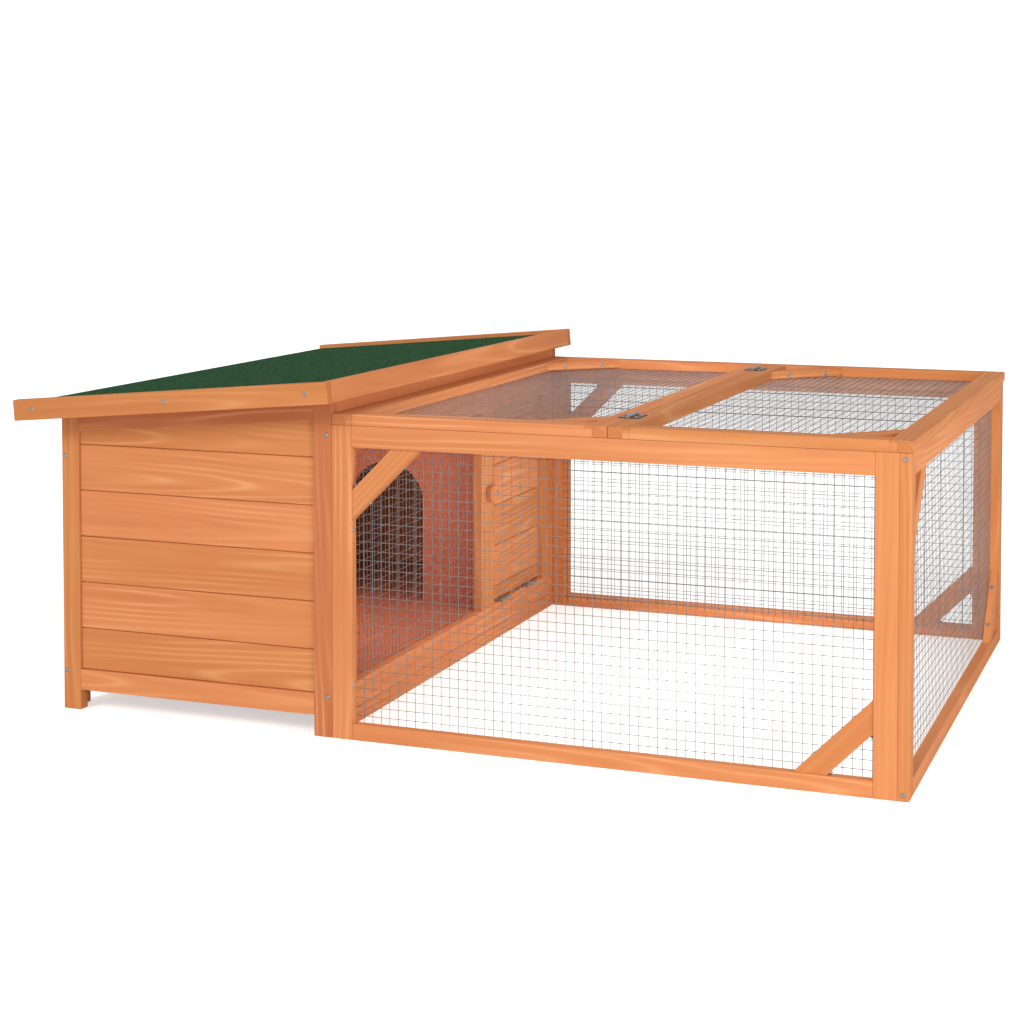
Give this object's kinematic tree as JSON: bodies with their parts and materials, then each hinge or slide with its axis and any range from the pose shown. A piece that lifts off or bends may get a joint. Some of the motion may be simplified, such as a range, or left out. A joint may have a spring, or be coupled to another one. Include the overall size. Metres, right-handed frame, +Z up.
{
  "type": "rabbit hutch",
  "caption": "Low wooden rabbit hutch: a plank house with a hinged felt roof and a ramp door, beside a wire-mesh run with an opening lid.",
  "frame": {"origin": "centre of the footprint's bounding box, on the ground", "axes": "+X from the house towards the run's end panel, +Y from the front to the back, +Z up"},
  "size_m": [1.277, 1.0002, 0.4958],
  "materials": {
    "fir": "matte, honey-orange stain",
    "plywood": "matte, stained",
    "felt": "matte mineral granules",
    "zinc": "galvanised",
    "hinge_steel": "dark zinc plate"
  },
  "bodies": {
    "hutch_frame": {"house_front_left_post": "fir", "house_front_right_post": "fir", "house_back_left_post": "fir", "house_back_right_post": "fir", "front_wall_bottom_rail": "fir", "front_wall_top_rail": "fir", "front_wall_planks": "fir", "back_wall_bottom_rail": "fir", "back_wall_top_rail": "fir", "back_wall_planks": "fir", "left_wall_stiles": "fir", "left_wall_rails": "fir", "left_wall_planks": "fir", "right_wall_rails": "fir", "right_wall_outer_posts": "fir", "right_wall_middle_post": "fir", "window_mesh": "zinc", "partition_board": "plywood", "floor_board": "plywood", "floor_bearers": "fir", "front_panel_stiles": "fir", "front_panel_rails": "fir", "front_panel_braces": "fir", "front_panel_mesh": "zinc", "back_panel_stiles": "fir", "back_panel_rails": "fir", "back_panel_braces": "fir", "back_panel_mesh": "zinc", "side_panel_stiles": "fir", "side_panel_rails": "fir", "side_panel_braces": "fir", "side_panel_mesh": "zinc", "fixed_lid_side_rails": "fir", "fixed_lid_end_rails": "fir", "fixed_lid_braces": "fir", "fixed_lid_mesh": "zinc", "lid_hinge_fixed_leaves": "hinge_steel", "roof_hinge_fixed_leaves": "hinge_steel", "ramp_hinge_fixed_leaves": "hinge_steel", "hinge_pins": "hinge_steel", "house_screws": "zinc", "run_screws": "zinc"},
    "roof": {"roof_board": "plywood", "roof_felt": "felt", "roof_front_fascia": "fir", "roof_back_fascia": "fir", "roof_high_fascia": "fir", "roof_hinge_moving_leaves": "hinge_steel", "roof_screws": "zinc"},
    "hinged_lid": {"hinged_lid_side_rails": "fir", "hinged_lid_end_rails": "fir", "hinged_lid_braces": "fir", "hinged_lid_mesh": "zinc", "hinged_lid_screws": "zinc", "lid_hinge_moving_leaves": "hinge_steel"},
    "ramp_door": {"ramp_door_planks": "fir", "ramp_door_battens": "fir", "ramp_hinge_moving_leaves": "hinge_steel"},
    "door_button": {"turn_button": "fir"}
  },
  "joints": [
    {"name": "roof_hinge", "type": "hinge", "parent": "hutch_frame", "child": "roof", "pos_m": [-0.58679, 0, 0.43234], "axis": [0, -1, 0], "range_deg": [0, 88]},
    {"name": "lid_hinge", "type": "hinge", "parent": "hutch_frame", "child": "hinged_lid", "pos_m": [0.24351, 0, 0.4511], "axis": [0, -1, 0], "range_deg": [0, 172]},
    {"name": "ramp_hinge", "type": "hinge", "parent": "hutch_frame", "child": "ramp_door", "pos_m": [-0.14919, 0.27, 0.0609], "axis": [0, 1, 0], "range_deg": [0, 102]},
    {"name": "button_turn", "type": "hinge", "parent": "hutch_frame", "child": "door_button", "pos_m": [-0.14679, 0.142, 0.249], "axis": [1, 0, 0], "range_deg": [0, 180]}
  ]
}
